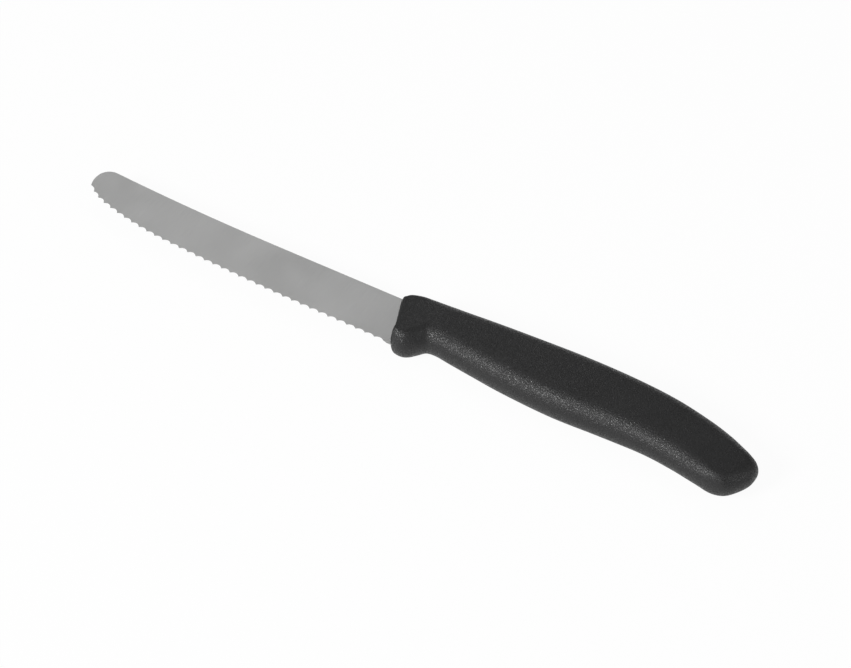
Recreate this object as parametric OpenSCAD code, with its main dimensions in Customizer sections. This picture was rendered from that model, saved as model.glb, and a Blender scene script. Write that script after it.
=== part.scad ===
// Tomato knife: a round-tipped, serrated blade set in a one-piece moulded handle.
// It lies on the flat of its handle. X runs from the tip (-X) to the butt (+X), +Y is
// the spine side, -Y the cutting side, and Z is the thickness. Every place is measured
// from the spine line (y = 0) and from the datum (x = 0) at the front of the handle,
// and the last modules move the knife to the middle of its own footprint.

/* [Overall] */
// Length of the blade from the datum to the front of the tip's round
blade_l = 109; // [91:0.5:131]
// Length of the handle from the datum to the last station of the butt's nose
handle_l = 114.9; // [97:0.1:138]

/* [Blade] */
// Width of the blade at the heel, from spine to edge
blade_w = 16.8; // [14:0.1:20.2]
// Thickness of the sheet, kept through the tang
blade_t = 1.2; // [1:0.05:1.5]
// Thickness left at the cutting edge by the flat grind, at the heel
edge_t = 0.45; // [0.35:0.01:0.55]
// Thickness left at the cutting edge by the same grind, at the tip
tip_t = 0.7; // [0.58:0.01:0.85]
// Depth that the grind skims off each face at the spine
grind_skim = 0.03; // [0.02:0.01:0.05]
// Length of spine, ahead of the datum, that runs straight
spine_straight = 45; // [37:0.5:54]
// Radius of the spine's slight upward sweep towards the tip
spine_sweep_r = 940; // [780:5:1150]
// Radius of the round tip
tip_r = 4.2; // [3.5:0.1:5]
// Radius of the flatter front that carries the round down to the cutting edge
tip_front_r = 7.5; // [6.2:0.1:9]
// How far below the spine line the cutting edge ends at the tip
tip_drop = 6.3; // [5.2:0.1:7.6]
// How far behind the front of the tip's round the cutting edge ends
tip_setback = 0.8; // [0.65:0.05:1]

/* [Cutting edge] */
// Length of cutting edge, ahead of the datum, that runs straight
edge_straight = 16; // [13:0.5:19.5]
// Radius of the long, shallow curve that follows
edge_belly_r = 970; // [800:5:1170]
// Distance from the tip at which the edge starts to turn up
edge_turn = 33.5; // [28:0.5:40]
// Radius of that turn
edge_turn_r = 118; // [98:1:142]
// Distance from the tip at which the edge curls up to its end
edge_curl = 9; // [7.5:0.1:10.8]
// Spacing of the teeth along the edge
tooth_pitch = 3.12; // [2.6:0.01:3.75]
// Depth of each scallop, seen on the flat face
tooth_depth = 0.76; // [0.65:0.01:0.9]
// Depth of the scallop at the tip
first_depth = 0.5; // [0.4:0.01:0.6]
// Depth of the scallop at the handle
last_depth = 0.6; // [0.5:0.01:0.65]
// Number of scallops at the tip over which the depth grows to the full one
tip_fade = 2; // [1:1:4]
// Number of scallops at the handle over which it does
heel_fade = 4; // [1:1:6]
// Width of the point left between two scallops
tooth_land = 0.2; // [0.16:0.01:0.3]
// Angle between a scallop's ground groove and the face of the blade
groove_angle = 20; // [16:1:24]
// How far behind the datum the last scallop may reach
heel_run = 2.7; // [2.2:0.1:3.2]

/* [Tang] */
// How far the tang's end stops short of the butt's nose
tang_gap = 30.9; // [26:0.1:37]
// Height of the tang just behind the blade's shoulder
tang_w = 9; // [7.5:0.1:10.8]
// How far below the spine line the tang's upper side lies there
tang_step = 0.45; // [0.3:0.05:0.6]
// Height of the tang at its rounded end
tang_end_w = 7; // [5.8:0.1:8.4]
// How far behind the datum the full width of the blade runs into the handle
shoulder_x = 7.4; // [6.6:0.1:8]
// How far ahead of that shoulder the grind stops, out of sight
grind_stop = 1.4; // [1.2:0.1:1.7]
// Radius in the corner between the shoulder and the tang's lower side
shoulder_r = 1.5; // [1:0.1:1.8]
// Diameter of the tang's locking holes, which the moulding fills
tang_hole_d = 4; // [3.3:0.1:4.8]
// Number of locking holes
tang_holes = 3; // [2:1:4]

/* [Handle outline] */
// Rise of the handle's back above the spine line, behind its front corner
front_rise = 2.8; // [2.4:0.1:3.4]
// Rise of the handle's back above the spine line, at its highest
back_rise = 5.4; // [4.5:0.1:6.5]
// How far the finger guard reaches below the cutting edge
guard_cover = 0.6; // [0.5:0.1:0.8]
// How far the hollow behind the guard lies above the guard's lowest point
choil_rise = 4.7; // [3.9:0.1:5.1]
// How far the belly of the grip, at its fullest, lies above the guard's lowest point
belly_rise = 1.1; // [0.5:0.1:2]
// How far the waist ahead of the butt lies above the guard's lowest point
waist_rise = 2; // [1.4:0.1:2.6]
// How far the hooked corner of the butt reaches below the guard's lowest point
butt_reach = 1; // [0.2:0.1:2]
// Drop of the butt's nose below the spine line
nose_drop = 8; // [7:0.1:9]
// Distance behind the datum at which the grip proper begins
grip_start = 17; // [16:0.1:18.5]

/* [Handle section] */
// Thickness of the handle through the grip
handle_t = 12; // [10:0.1:14.4]
// How much thinner the handle is at its front face
front_slim = 1.4; // [0.8:0.1:2.4]
// Distance behind the datum at which the handle starts to swell
swell_start = 6; // [5:0.1:7]
// Distance behind the datum at which the handle is full thickness
swell_end = 18; // [15:0.1:21]
// How far in from the outline the flat begins along the grip
grip_round = 6; // [5:0.1:6.4]
// The same above the hollow behind the guard
choil_round = 7; // [6:0.1:7.6]
// The same round the finger guard
guard_round = 3.2; // [2.6:0.1:3.2]
// The same at the front face, which is left nearly sharp
front_round = 0.9; // [0.7:0.1:1.2]
// The same round the butt
butt_round = 4.8; // [4:0.1:4.8]

/* [Hidden] */

// Detail of the curves
spine_steps = 10;
tip_steps = 16;
front_arc_steps = 6;
belly_steps = 10;
turn_steps = 12;
curl_steps = 10;
end_steps = 12;
corner_steps = 5;
span_steps = 5;
round_steps = 11;
round_fn = 64;

// Points on an arc about a centre, from one angle to another
function arc(centre, r, from, to, steps) = [
    for (i = [0:steps])
        let (a = from + (to - from) * i / steps)
            centre + r * [cos(a), sin(a)]
];

// Spine: straight, then a large arc whose centre is above it, then the round tip that
// touches that arc from below
spine_angle = asin((blade_l - tip_r - spine_straight) / (spine_sweep_r + tip_r));
tip_centre = [
    tip_r - blade_l,
    spine_sweep_r - (spine_sweep_r + tip_r) * cos(spine_angle)
];

// Front of the tip: a flatter arc that leaves the round smoothly and runs through the
// end of the cutting edge
edge_end = [tip_setback - blade_l, -tip_drop];
front_offset = tip_front_r - tip_r;
tip_run = edge_end - tip_centre;
tip_reach = norm(tip_run);
front_lean = acos(
    (tip_reach * tip_reach + front_offset * front_offset - tip_front_r * tip_front_r)
        / (2 * front_offset * tip_reach)
);
tip_leave = 180 + atan2(tip_run[1], tip_run[0]) + front_lean;
front_centre = tip_centre - front_offset * [cos(tip_leave), sin(tip_leave)];
front_run = edge_end - front_centre;
front_leave = 360 + atan2(front_run[1], front_run[0]);

// The shallow arc leaves the straight run, and two tighter arcs carry on to the tip
belly_angle = asin((blade_l - edge_turn - edge_straight) / edge_belly_r);
turn_start = [
    edge_turn - blade_l,
    edge_belly_r * (1 - cos(belly_angle)) - blade_w
];
turn_angle = asin(sin(belly_angle) + (edge_turn - edge_curl) / edge_turn_r);
curl_start = [
    edge_curl - blade_l,
    turn_start[1] + edge_turn_r * (cos(belly_angle) - cos(turn_angle))
];
curl_chord = edge_end - curl_start;
curl_sweep = 2 * (atan2(curl_chord[1], -curl_chord[0]) - turn_angle);
curl_r = norm(curl_chord) / (2 * sin(curl_sweep / 2));

// Lengths along the cutting edge from the datum
belly_from = edge_straight;
turn_from = belly_from + edge_belly_r * belly_angle * PI / 180;
curl_from = turn_from + edge_turn_r * (turn_angle - belly_angle) * PI / 180;
edge_l = curl_from + curl_r * curl_sweep * PI / 180;

// Point at a length along one of the edge's arcs, and the angle that the edge rises at
function on_arc(start, r, from, along) =
    let (a = from + along / r * 180 / PI)
        [start[0] - r * (sin(a) - sin(from)), start[1] + r * (cos(from) - cos(a)), a];
function edge_at(s) =
    s <= belly_from ? [-s, -blade_w, 0]
    : s <= turn_from ? on_arc([-edge_straight, -blade_w], edge_belly_r, 0, s - belly_from)
    : s <= curl_from ? on_arc(turn_start, edge_turn_r, belly_angle, s - turn_from)
    : on_arc(curl_start, curl_r, turn_angle, s - curl_from);

function xy(p) = [p[0], p[1]];

// The handle's lower outline is measured from the guard, which covers the blade's heel
guard_drop = blade_w + guard_cover;
choil_drop = guard_drop - choil_rise;
belly_drop = guard_drop - belly_rise;
waist_drop = guard_drop - waist_rise;
butt_drop = guard_drop + butt_reach;

// Tang: its upper side steps down a little from the spine, and it narrows to a round end
tang_l = handle_l - tang_gap;
tang_y = -tang_step - tang_w / 2;
tang_end_r = tang_end_w / 2;
function tang_hole_x(i) = shoulder_x + (tang_l - shoulder_x) * (i + 0.6) / (tang_holes + 0.2);

// Outline of the sheet before it is sharpened, clockwise from the spine at the shoulder
blank_outline = concat(
    [for (i = [0:spine_steps])
        let (a = spine_angle * i / spine_steps)
            [-spine_straight - spine_sweep_r * sin(a), spine_sweep_r * (1 - cos(a))]],
    arc(tip_centre, tip_r, 90 - spine_angle, tip_leave, tip_steps),
    [for (i = [1:front_arc_steps - 1])
        let (a = tip_leave + (front_leave - tip_leave) * i / front_arc_steps)
            front_centre + tip_front_r * [cos(a), sin(a)]],
    [for (i = [0:curl_steps - 1]) xy(edge_at(edge_l - (edge_l - curl_from) * i / curl_steps))],
    [for (i = [0:turn_steps - 1]) xy(edge_at(curl_from - (curl_from - turn_from) * i / turn_steps))],
    [for (i = [0:belly_steps]) xy(edge_at(turn_from - (turn_from - belly_from) * i / belly_steps))],
    [[shoulder_x, -blade_w]],
    arc([shoulder_x + shoulder_r, tang_y - tang_w / 2 - shoulder_r], shoulder_r, 180, 90, corner_steps),
    arc([tang_l - tang_end_r, tang_y], tang_end_r, -90, 90, end_steps),
    arc([shoulder_x + tang_step, 0], tang_step, 270, 180, corner_steps)
);

// Flat grind: each face falls towards the edge and, more gently, towards the tip
grind_top = blade_t / 2 - grind_skim;
grind_fall_y = (grind_top - edge_t / 2) / blade_w;
grind_fall_x = (grind_top - grind_fall_y * tip_drop - tip_t / 2) / blade_l;
function half_t(p) = grind_top + grind_fall_y * p[1] + grind_fall_x * p[0];

// Serration: the scallops are shallower at both ends of the edge, and each groove's
// radius follows from its own scallop's width and depth
tooth_count = floor((edge_l + heel_run) / tooth_pitch);
function scallop_depth(i) = min(
    tooth_depth,
    first_depth + (tooth_depth - first_depth) * i / tip_fade,
    last_depth + (tooth_depth - last_depth) * (tooth_count - 1 - i) / heel_fade
);
groove_chord = tooth_pitch - tooth_land;
function groove_r(depth) =
    let (sunk = depth * sin(groove_angle))
        (groove_chord * groove_chord / 4 + sunk * sunk) / (2 * sunk);
groove_overrun = 3;
groove_clear = 0.4;

// Handle stations: places on the outline at mid-thickness, along the back and along the
// belly, both from front to butt. The third number is how far in from the outline the
// flat of the side begins. Stations with the same number face each other. Those of the
// guard are fixed, and those of the grip are spread over what is left of the length.
function grip_x(share) = grip_start + (handle_l - grip_start) * share;
back_line = [
    [-0.1, front_rise - 5.4, front_round],
    [0.6, front_rise - 3.2, front_round + 0.4],
    [2.2, front_rise - 2, front_round + 1.2],
    [4.6, front_rise - 0.8, 0.56 * grip_round],
    [7.6, front_rise, 0.78 * grip_round],
    [11, front_rise + 0.3, 0.92 * grip_round],
    [15, front_rise + 0.5, grip_round],
    [19, front_rise + 0.7, grip_round],
    [grip_x(0.12), back_rise - 1.2, grip_round],
    [grip_x(0.235), back_rise - 0.6, grip_round],
    [grip_x(0.39), back_rise, grip_round],
    [grip_x(0.55), back_rise - 0.1, grip_round],
    [grip_x(0.69), back_rise - 1.4, grip_round],
    [grip_x(0.805), back_rise - 3.7, 0.95 * grip_round],
    [grip_x(0.88), back_rise - 6, butt_round + 0.4],
    [grip_x(0.935), 4.9 - nose_drop, butt_round - 0.4],
    [grip_x(0.964), 3.3 - nose_drop, butt_round - 1.2],
    [grip_x(0.985), 1.7 - nose_drop, butt_round - 2],
    [handle_l, -nose_drop, butt_round - 2.4]
];
belly_line = [
    [3.4, 5.2 - guard_drop, front_round],
    [4, 2.2 - guard_drop, guard_round - 1.9],
    [5, 0.6 - guard_drop, guard_round - 0.9],
    [8.2, -guard_drop, guard_round],
    [10.4, 0.8 - guard_drop, guard_round + 0.8],
    [12.3, -0.46 * guard_drop - 0.54 * choil_drop, guard_round + 1.8],
    [14.1, -choil_drop - 0.2, choil_round - 0.6],
    [16.6, -choil_drop, choil_round],
    [21, -choil_drop - 0.6, grip_round + 0.6],
    [grip_x(0.12), 2.1 - belly_drop, grip_round],
    [grip_x(0.235), 0.8 - belly_drop, grip_round],
    [grip_x(0.39), -belly_drop, grip_round],
    [grip_x(0.54), 0.5 - belly_drop, grip_round],
    [grip_x(0.675), -waist_drop, grip_round],
    [grip_x(0.77), 2.2 - butt_drop, 0.95 * grip_round],
    [grip_x(0.85), 1 - butt_drop, butt_round + 0.4],
    [grip_x(0.91), -butt_drop, butt_round],
    [grip_x(0.951), 1.9 - butt_drop, butt_round - 0.6],
    [grip_x(0.986), -nose_drop - 3.8, butt_round - 1]
];
last = len(back_line) - 1;

// The stations in one loop, anticlockwise seen from above, and the two smooth curves
// through them: the rim at mid-thickness, and the edge of the flats
stations = concat(belly_line, [for (i = [last:-1:0]) back_line[i]]);
station_count = len(stations);
function inward(k) =
    let (
        run = xy(stations[(k + 1) % station_count])
            - xy(stations[(k + station_count - 1) % station_count])
    )
        [-run[1], run[0]] / norm(run);
function smooth_loop(line) = [
    for (k = [0:station_count - 1], j = [0:span_steps - 1])
        let (
            t = j / span_steps,
            p0 = line[(k + station_count - 1) % station_count],
            p1 = line[k],
            p2 = line[(k + 1) % station_count],
            p3 = line[(k + 2) % station_count]
        )
            (2 * p1 + (p2 - p0) * t
                + (2 * p0 - 5 * p1 + 4 * p2 - p3) * t * t
                + (3 * p1 - p0 - 3 * p2 + p3) * t * t * t) / 2
];
rim = smooth_loop([for (s = stations) xy(s)]);
flat_edge = smooth_loop([
    for (k = [0:station_count - 1]) xy(stations[k]) + stations[k][2] * inward(k)
]);
loop_count = len(rim);

// Half the handle's thickness at a distance behind the datum
function ease(u) = let (v = min(max(u, 0), 1)) v * v * (3 - 2 * v);
function half_thick(x) =
    (handle_t - front_slim * (1 - ease((x - swell_start) / (swell_end - swell_start)))) / 2;

// Loops up the rounded side, from the lower flat's edge out to the rim and back in
handle_loops = [
    for (i = [-round_steps:round_steps])
        let (a = 90 * i / round_steps)
            [for (j = [0:loop_count - 1])
                let (p = rim[j] + (flat_edge[j] - rim[j]) * (1 - cos(a)))
                    [p[0], p[1], half_thick(flat_edge[j][0]) * sin(a)]]
];

// Each flat is strips between facing points, with a fan about a hub at either end, which
// takes in the first or last few stations. A face is listed as if seen from above.
fan_stations = 3;
strip_from = fan_stations * span_steps;
strip_to = (last - fan_stations) * span_steps;
facing = loop_count - span_steps;
function hub(points, m) = (points[m] + points[facing - m]) / 2;
function fan(centre, line) = [
    for (i = [0:len(line) - 1]) [centre, line[i], line[(i + 1) % len(line)]]
];
function flat_faces(front_hub, butt_hub) = concat(
    fan(front_hub, [
        for (i = [facing - strip_from:loop_count + strip_from]) i % loop_count
    ]),
    fan(butt_hub, [for (i = [strip_to:facing - strip_to]) i]),
    [for (m = [strip_from:strip_to - 1]) each [
        [m, m + 1, facing - m],
        [m + 1, facing - m - 1, facing - m]
    ]]
);

top_loop = 2 * round_steps;
hubs_at = (top_loop + 1) * loop_count;
handle_points = concat(
    [for (l = handle_loops) each l],
    [for (l = [handle_loops[0], handle_loops[top_loop]]) each [hub(l, strip_from), hub(l, strip_to)]]
);
function corner(r, i) = r * loop_count + i % loop_count;
function raise(v) = v < loop_count ? corner(top_loop, v) : v;
handle_faces = concat(
    flat_faces(hubs_at, hubs_at + 1),
    [for (f = flat_faces(hubs_at + 2, hubs_at + 3)) [raise(f[2]), raise(f[1]), raise(f[0])]],
    [for (r = [0:top_loop - 1], i = [0:loop_count - 1]) each [
        [corner(r, i), corner(r + 1, i), corner(r, i + 1)],
        [corner(r, i + 1), corner(r + 1, i), corner(r + 1, i + 1)]
    ]]
);

// Middle of the knife's footprint, and the height that it lies at
footprint_x = (max([for (p = handle_points) p[0]]) + min([for (p = blank_outline) p[0]])) / 2;
footprint_y = (max([for (p = handle_points) p[1]]) + min([for (p = handle_points) p[1]])) / 2;
module lay_down() {
    translate([-footprint_x, -footprint_y, handle_t / 2]) children();
}

// Everything above the ground face on one side, up to where the grind stops
module grind_cut() {
    far = 2 * blade_l;
    stop = shoulder_x - grind_stop;
    lean_y = atan(grind_fall_x);
    lean_x = atan(grind_fall_y * cos(lean_y));
    intersection() {
        translate([0, 0, grind_top])
            rotate([lean_x, -lean_y, 0])
                translate([-far, -far, 0])
                    cube([2 * far, 2 * far, blade_t]);
        translate([stop - far, -far, -blade_t])
            cube([far, 2 * far, 3 * blade_t]);
    }
}

// The sheet with its tang and holes, ground but not yet serrated
module blade_blank() {
    difference() {
        translate([0, 0, -blade_t / 2]) linear_extrude(height = blade_t) polygon(blank_outline);
        grind_cut();
        mirror([0, 0, 1]) grind_cut();
        for (i = [0:tang_holes - 1]) {
            translate([tang_hole_x(i), tang_y, -blade_t])
                cylinder(h = 2 * blade_t, d = tang_hole_d, $fn = round_fn);
        }
    }
}

// One groove, ground from below: its floor meets the upper face at the scallop's depth
module groove(place, depth) {
    r = groove_r(depth);
    lip = half_t(place);
    run = (2 * lip + groove_clear) / sin(groove_angle);
    translate([place[0], place[1], lip])
        rotate([0, 0, -place[2]])
            translate([0, depth, 0])
                rotate([-90 - groove_angle, 0, 0])
                    translate([0, r, -groove_overrun])
                        cylinder(h = groove_overrun + run, r = r, $fn = round_fn);
}

module blade() {
    color("silver") lay_down() difference() {
        blade_blank();
        for (i = [0:tooth_count - 1]) {
            groove(edge_at(edge_l - tooth_pitch * (i + 0.5)), scallop_depth(i));
        }
    }
}

// The moulding closes round the heel and the tang, and fills the tang's holes
module handle() {
    color("dimgray") lay_down() difference() {
        polyhedron(points = handle_points, faces = handle_faces);
        blade_blank();
    }
}

blade();
handle();
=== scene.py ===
from math import cos, pi, radians, sin

import bmesh
import bpy
import numpy as np
from mathutils import Matrix, Vector


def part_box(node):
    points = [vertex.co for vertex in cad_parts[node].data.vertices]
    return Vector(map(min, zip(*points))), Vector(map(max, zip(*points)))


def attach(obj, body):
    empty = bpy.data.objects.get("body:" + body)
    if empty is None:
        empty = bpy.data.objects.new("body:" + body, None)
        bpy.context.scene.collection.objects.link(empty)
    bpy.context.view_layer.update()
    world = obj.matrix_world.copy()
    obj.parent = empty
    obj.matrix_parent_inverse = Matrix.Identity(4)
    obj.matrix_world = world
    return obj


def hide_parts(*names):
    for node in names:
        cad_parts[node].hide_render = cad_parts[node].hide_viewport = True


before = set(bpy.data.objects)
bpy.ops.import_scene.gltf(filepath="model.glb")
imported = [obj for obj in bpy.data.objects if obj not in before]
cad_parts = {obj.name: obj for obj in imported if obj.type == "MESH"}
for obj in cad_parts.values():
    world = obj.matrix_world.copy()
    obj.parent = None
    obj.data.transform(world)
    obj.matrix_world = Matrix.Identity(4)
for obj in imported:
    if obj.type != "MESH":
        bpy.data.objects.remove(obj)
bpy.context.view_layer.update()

# All lengths are in metres. The datum is the point on the spine line, at the front of
# the handle, that the knife's sizes are measured from.
MM = 0.001
BLADE_L = 109 * MM
BLADE_W = 16.8 * MM
TIP_OVERHANG = 0.05 * MM

blade_low, blade_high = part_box("blade")
handle_low, handle_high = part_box("handle")
DATUM = Vector((
    blade_low.x + TIP_OVERHANG + BLADE_L,
    blade_low.y + BLADE_W,
    (blade_low.z + blade_high.z) / 2,
))

# Handle: the outline at mid-thickness as stations along the back and along the belly,
# both from front to butt, in millimetres behind the datum and above the spine line. The
# stations with the same number face each other. Through the grip they are those of the
# CAD model. Toward the butt and at the front corner they are the visual model's own. The
# third number is how far in from the outline the flat of the side begins. It is 0 where
# GUARD_FLATS or CORNER_FLATS gives the flat's edge as a place instead.
BACK_LINE = [
    (-0.1, -3.2, 0), (0.7, -1.3, 0), (2.5, 0.4, 0), (4.6, 2, 3.36), (7.6, 2.8, 4.68),
    (11, 3.1, 5.52), (15, 3.3, 6), (19, 3.5, 6), (28.75, 4.2, 6), (40, 4.8, 6),
    (55.2, 5.4, 6), (70.8, 5.3, 6), (84.6, 4.3, 6), (95.9, 2.1, 5.7), (103.3, -0.1, 5.3),
    (108.8, -2.5, 4.9), (111.8, -4.1, 4.7), (113.9, -5.7, 4.7), (114.9, -8, 4.6),
]
BELLY_LINE = [
    (3.4, -12.2, 0.9), (4, -15.2, 0), (5, -16.8, 0), (8, -17.5, 0), (10.4, -16.6, 0),
    (12.3, -14.86, 0), (14.1, -12.9, 0), (16.6, -12.7, 0), (21, -13.3, 0), (28.75, -14.2, 6),
    (40, -15.5, 6), (55.2, -16.3, 6), (69.9, -15.8, 6), (83.1, -15.6, 5.8), (92.4, -16.5, 5.2),
    (100.2, -17.8, 4.3), (106.1, -18.4, 3.1), (110.7, -17.2, 4), (114.3, -12.2, 4.7),
]
# Places on the flat's edge, for the belly's stations from GUARD_FROM on, and for the
# back's first stations, counted from the third to the first
GUARD_FROM = 1
GUARD_FLATS = [
    (5.3, -14.7), (6.3, -14.5), (7.9, -13.7), (8.9, -12.5), (9.9, -10.5), (12.1, -7.6),
    (17.1, -6.1), (21.8, -6.8),
]
CORNER_FLATS = [(2.9, -1.3), (1.7, -2.3), (1.4, -4.2)]
# The insets round the butt, from this station on, aim at one place
BUTT_FROM = 16
BUTT_HUB = (102, -9)

# Thickness in millimetres: at the front, through the grip, and what the butt has less.
# The starts and ends are distances behind the datum.
FRONT_T = 10.6
HANDLE_T = 12
BUTT_SLIM = 3.8
SWELL_START, SWELL_END = 6, 18
TAPER_START, TAPER_END = 56, 112

# Mesh: steps from station to station and over a quarter of the round, loops on the flat
# as shares of the way to its middle, and stations at each end that the flat fans out over
SPAN_STEPS = 16
ROUND_STEPS = 30
FLAT_INSETS = (0.05, 0.4, 1)
FAN_STATIONS = 3
MERGE_DISTANCE = 0.001 * MM

PLASTIC_COLOURS = (0.0065, 0.0065, 0.0067), (0.0085, 0.0085, 0.0087)
PLASTIC_ROUGHNESS = 0.2, 0.8
PLASTIC_IOR = 1.5
GRAIN_DEPTH = 0.17 * MM
STEEL_COLOURS = (0.335, 0.335, 0.333), (0.37, 0.37, 0.368)
STEEL_ROUGHNESS = 0.4, 0.44
BRUSH_DEPTH = 0.01 * MM
BRUSH_STRENGTH = 0.15
# The part of a noise's range that is spread over a colour ramp or a roughness
NOISE_LOW, NOISE_HIGH = 0.3, 0.7

# The photograph's camera: degrees, metres, millimetres from the datum, and pixels
CAMERA_AZIMUTH, CAMERA_ELEVATION = 31.2093, 45
CAMERA_DISTANCE = 675.452 * MM
CAMERA_TARGET = (11.325, -8.308, 0)
FOCAL_PIXELS = 2382.154
PICTURE_WIDTH = 851
SENSOR_WIDTH = 36
CLIP_START, CLIP_END = 0.01, 20

FLOOR_REACH = 6
FLOOR_GREY = 0.86
FLOOR_WHITE = 0.95

# The surround's level at the horizon and overhead, and the heights of a direction
# between which it goes from one to the other
HORIZON_LEVEL, OVERHEAD_LEVEL = 0.12, 0.3
RISE_START, RISE_END = -0.1, 0.6

# Softboxes: name, azimuth and elevation in degrees, width and height in metres, radiance
LAMP_DISTANCE = 1.5
LAMPS = [
    ("key", -24, 33, (0.5, 0.45), 28.5),
    ("right", 93, 32, (0.5, 0.5), 5.0),
    ("back", -138, 46, (0.5, 0.5), 2.4),
]


def smooth_loop(line, steps):
    """Points along the closed smooth curve through a loop of stations."""
    out = []
    for k in range(len(line)):
        p0, p1, p2, p3 = (line[(k + i) % len(line)] for i in (-1, 0, 1, 2))
        for t in np.arange(steps) / steps:
            out.append((
                2 * p1 + (p2 - p0) * t
                + (2 * p0 - 5 * p1 + 4 * p2 - p3) * t ** 2
                + (3 * p1 - p0 - 3 * p2 + p3) * t ** 3
            ) / 2)
    return np.array(out)


def half_thick(x):
    u = np.clip((x - SWELL_START) / (SWELL_END - SWELL_START), 0, 1)
    v = np.clip((x - TAPER_START) / (TAPER_END - TAPER_START), 0, 1)
    return (FRONT_T + (HANDLE_T - FRONT_T) * u * u * (3 - 2 * u) - BUTT_SLIM * v * v) / 2


def handle_loops():
    """Loops from the middle of the lower flat round the outline to the upper flat's."""
    stations = np.array(BELLY_LINE + BACK_LINE[::-1], float)
    ahead = np.roll(stations, -1, 0)[:, :2] - np.roll(stations, 1, 0)[:, :2]
    inward = np.column_stack([-ahead[:, 1], ahead[:, 0]])
    butt = slice(BUTT_FROM, len(stations) - BUTT_FROM + 1)
    inward[butt] = BUTT_HUB - stations[butt, :2]
    inward /= np.linalg.norm(inward, axis=1)[:, None]
    rim = smooth_loop(stations[:, :2], SPAN_STEPS)
    flats = stations[:, :2] + inward * stations[:, 2:]
    flats[GUARD_FROM:GUARD_FROM + len(GUARD_FLATS)] = GUARD_FLATS
    flats[-len(CORNER_FLATS):] = CORNER_FLATS
    flat = smooth_loop(flats, SPAN_STEPS)
    half = half_thick(flat[:, 0])
    middle = middle_line(flat)
    insets = [flat + (middle - flat) * share for share in FLAT_INSETS]
    loops = [np.column_stack([p, -half_thick(p[:, 0])]) for p in insets[::-1]]
    for i in range(-ROUND_STEPS, ROUND_STEPS + 1):
        a = pi / 2 * i / ROUND_STEPS
        loops.append(np.column_stack([rim + (flat - rim) * (1 - cos(a)), half * sin(a)]))
    return loops + [np.column_stack([p, half_thick(p[:, 0])]) for p in insets]


def middle_line(flat):
    """For each point of a flat's edge, the middle of the flat beside it."""
    count = len(flat)
    across = count - SPAN_STEPS
    first, last = FAN_STATIONS * SPAN_STEPS, (len(BACK_LINE) - 1 - FAN_STATIONS) * SPAN_STEPS
    nearest = np.arange(count)
    nearest[across - first:] = first
    nearest[:first] = first
    nearest[last:across - last + 1] = last
    return (flat[nearest] + flat[across - nearest]) / 2


def handle_mesh(name):
    """The handle as a closed, smooth-shaded mesh, fitted to the CAD piece's own box."""
    loops = handle_loops()
    count = len(loops[0])
    points = np.vstack(loops)
    faces = []
    for r in range(len(loops) - 1):
        for i in range(count):
            j = (i + 1) % count
            faces.append((r * count + i, r * count + j, (r + 1) * count + j, (r + 1) * count + i))
    low = np.array(handle_low) / MM
    high = np.array(handle_high) / MM
    span = points.max(0) - points.min(0)
    points = low + (points - points.min(0)) / span * (high - low)
    shape = bmesh.new()
    corners = [shape.verts.new(point * MM) for point in points]
    for face in faces:
        shape.faces.new([corners[i] for i in face])
    bmesh.ops.remove_doubles(shape, verts=shape.verts, dist=MERGE_DISTANCE)
    for face in shape.faces:
        face.smooth = True
    mesh = bpy.data.meshes.new(name)
    shape.to_mesh(mesh)
    shape.free()
    piece = bpy.data.objects.new(name, mesh)
    bpy.context.collection.objects.link(piece)
    return piece


class Nodes:
    """Short calls for building a material's node tree."""

    def __init__(self, name):
        self.material = bpy.data.materials.new(name)
        self.material.use_nodes = True
        self.tree = self.material.node_tree
        self.shader = self.tree.nodes["Principled BSDF"]

    def add(self, kind, inputs=None, **settings):
        node = self.tree.nodes.new("ShaderNode" + kind)
        for key, value in settings.items():
            setattr(node, key, value)
        for key, value in (inputs or {}).items():
            if isinstance(value, bpy.types.NodeSocket):
                self.tree.links.new(value, node.inputs[key])
            else:
                node.inputs[key].default_value = value
        return node

    def link(self, source, key):
        self.tree.links.new(source, self.shader.inputs[key])

    def ramp(self, value, stops):
        node = self.add("ValToRGB", {"Fac": value})
        points = node.color_ramp.elements
        while len(points) < len(stops):
            points.new(0.5)
        for point, (place, level) in zip(points, stops):
            point.position = place
            point.color = (*level, 1)
        return node.outputs["Color"]


def between(n, noise, span):
    """A node that spreads the middle of a noise over a span of values."""
    return n.add("MapRange", {
        "Value": noise.outputs["Fac"], "From Min": NOISE_LOW, "From Max": NOISE_HIGH,
        "To Min": span[0], "To Max": span[1],
    }).outputs["Result"]


def moulded_plastic():
    """Black moulded plastic with a fine spark-eroded grain."""
    n = Nodes("moulded_plastic")
    place = n.add("TexCoord").outputs["Object"]
    grain = n.add("TexNoise", {"Vector": place, "Scale": 2600, "Detail": 2, "Roughness": 0.6})
    fine = n.add("TexNoise", {"Vector": place, "Scale": 3200, "Detail": 1, "Roughness": 0.5})
    cloud = n.add("TexNoise", {"Vector": place, "Scale": 90, "Detail": 3, "Roughness": 0.5})
    stops = list(zip((NOISE_LOW, NOISE_HIGH), PLASTIC_COLOURS))
    n.link(n.ramp(cloud.outputs["Fac"], stops), "Base Color")
    n.link(between(n, fine, PLASTIC_ROUGHNESS), "Roughness")
    height = grain.outputs["Fac"]
    bump = n.add("Bump", {"Strength": 1.0, "Distance": GRAIN_DEPTH, "Height": height})
    n.link(bump.outputs["Normal"], "Normal")
    n.shader.inputs["IOR"].default_value = PLASTIC_IOR
    return n.material


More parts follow.
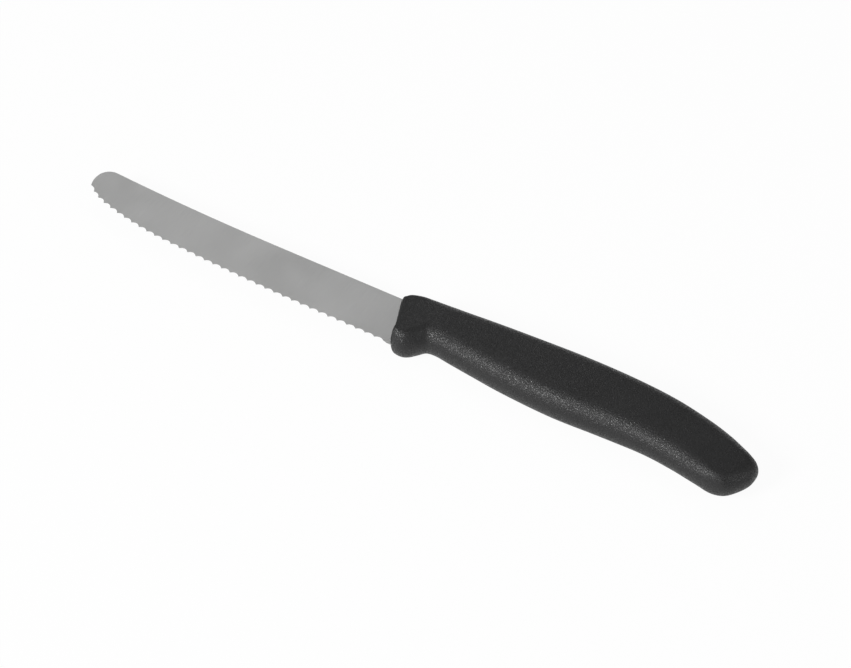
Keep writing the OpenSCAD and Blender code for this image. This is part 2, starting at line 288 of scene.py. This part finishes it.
def ground_steel():
    """Fine-ground stainless steel, brushed across the blade."""
    n = Nodes("ground_steel")
    place = n.add("TexCoord").outputs["Object"]
    across = n.add("Mapping", {"Vector": place, "Scale": (9000, 160, 160)}).outputs["Vector"]
    lines = n.add("TexNoise", {"Vector": across, "Scale": 1, "Detail": 3, "Roughness": 0.6})
    cloud = n.add("TexNoise", {"Vector": place, "Scale": 60, "Detail": 2, "Roughness": 0.5})
    stops = list(zip((NOISE_LOW, NOISE_HIGH), STEEL_COLOURS))
    n.link(n.ramp(lines.outputs["Fac"], stops), "Base Color")
    n.shader.inputs["Metallic"].default_value = 1
    n.link(between(n, cloud, STEEL_ROUGHNESS), "Roughness")
    height = lines.outputs["Fac"]
    bump = n.add("Bump", {"Strength": BRUSH_STRENGTH, "Distance": BRUSH_DEPTH, "Height": height})
    n.link(bump.outputs["Normal"], "Normal")
    return n.material


def paint(piece, material):
    if not piece.data.materials:
        piece.data.materials.append(material)
    for slot in piece.material_slots:
        slot.material = material


def make_camera():
    """The photograph's camera, placed by its angles and its distance from a target."""
    azimuth, elevation = radians(CAMERA_AZIMUTH), radians(CAMERA_ELEVATION)
    target = DATUM + Vector(CAMERA_TARGET) * MM
    back = Vector((sin(azimuth) * cos(elevation), -cos(azimuth) * cos(elevation), sin(elevation)))
    right = Vector((cos(azimuth), sin(azimuth), 0))
    up = back.cross(right)
    # The fit counts from the middle of a pixel, and the camera from its corner.
    pixel = CAMERA_DISTANCE / FOCAL_PIXELS
    target += (up - right) * pixel / 2
    camera = bpy.data.objects.new("camera", bpy.data.cameras.new("camera"))
    bpy.context.collection.objects.link(camera)
    camera.data.sensor_width = SENSOR_WIDTH
    camera.data.lens = FOCAL_PIXELS * SENSOR_WIDTH / PICTURE_WIDTH
    camera.data.clip_start = CLIP_START
    camera.data.clip_end = CLIP_END
    turn = Matrix((right, up, back)).transposed().to_4x4()
    camera.matrix_world = Matrix.Translation(target + back * CAMERA_DISTANCE) @ turn
    bpy.context.scene.camera = camera


def make_floor():
    """A pale matt floor, mostly white to the camera and in reflections.

    The rest of its share stays lit, so that it keeps the knife's shadow.
    """
    reach = FLOOR_REACH
    mesh = bpy.data.meshes.new("floor")
    corners = [(-reach, -reach, 0), (reach, -reach, 0), (reach, reach, 0), (-reach, reach, 0)]
    mesh.from_pydata(corners, [], [(0, 1, 2, 3)])
    floor = bpy.data.objects.new("floor", mesh)
    bpy.context.collection.objects.link(floor)
    n = Nodes("floor")
    n.shader.inputs["Base Color"].default_value = (FLOOR_GREY, FLOOR_GREY, FLOOR_GREY, 1)
    n.shader.inputs["Roughness"].default_value = 0.9
    n.shader.inputs["Specular IOR Level"].default_value = 0
    white = n.add("Emission", {"Color": (1, 1, 1, 1), "Strength": 1.0})
    path = n.add("LightPath").outputs
    seen = n.add("Math", {0: path["Is Camera Ray"], 1: path["Is Glossy Ray"]}, operation="MAXIMUM")
    share = n.add("Math", {0: seen.outputs[0], 1: FLOOR_WHITE}, operation="MULTIPLY")
    mix = n.add("MixShader", {0: share.outputs[0], 1: n.shader.outputs[0], 2: white.outputs[0]})
    out = n.tree.nodes["Material Output"]
    n.tree.links.new(mix.outputs[0], out.inputs["Surface"])
    mesh.materials.append(n.material)


def area_light(name, azimuth, elevation, size, radiance):
    """A softbox that faces the knife from an azimuth and elevation."""
    a, e = radians(azimuth), radians(elevation)
    back = Vector((sin(a) * cos(e), -cos(a) * cos(e), sin(e)))
    light = bpy.data.objects.new(name, bpy.data.lights.new(name, "AREA"))
    bpy.context.collection.objects.link(light)
    light.data.shape = "RECTANGLE"
    light.data.size, light.data.size_y = size
    light.data.energy = radiance * pi * size[0] * size[1]
    light.location = back * LAMP_DISTANCE
    light.rotation_mode = "QUATERNION"
    light.rotation_quaternion = back.to_track_quat("Z", "Y")


def make_world():
    """A soft surround, dim at the horizon and brighter overhead, and white to the camera."""
    world = bpy.data.worlds.new("studio")
    world.use_nodes = True
    bpy.context.scene.world = world
    tree = world.node_tree
    nodes, links = tree.nodes, tree.links
    place = nodes.new("ShaderNodeTexCoord")
    split = nodes.new("ShaderNodeSeparateXYZ")
    rise = nodes.new("ShaderNodeMapRange")
    rise.interpolation_type = "SMOOTHSTEP"
    rise.inputs["From Min"].default_value = RISE_START
    rise.inputs["From Max"].default_value = RISE_END
    rise.inputs["To Min"].default_value = HORIZON_LEVEL
    rise.inputs["To Max"].default_value = OVERHEAD_LEVEL
    path = nodes.new("ShaderNodeLightPath")
    level = nodes.new("ShaderNodeMapRange")
    level.inputs["To Max"].default_value = 1
    links.new(place.outputs["Generated"], split.inputs[0])
    links.new(split.outputs["Z"], rise.inputs["Value"])
    links.new(rise.outputs["Result"], level.inputs["To Min"])
    links.new(path.outputs["Is Camera Ray"], level.inputs["Value"])
    links.new(level.outputs["Result"], nodes["Background"].inputs["Strength"])
    nodes["Background"].inputs["Color"].default_value = (1, 1, 1, 1)


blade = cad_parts["blade"]
paint(blade, ground_steel())

handle = handle_mesh("handle_moulding")
paint(handle, moulded_plastic())
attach(handle, "root")
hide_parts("handle")

make_camera()
make_floor()
make_world()
for lamp in LAMPS:
    area_light(*lamp)

bpy.context.scene.view_settings.view_transform = "Standard"
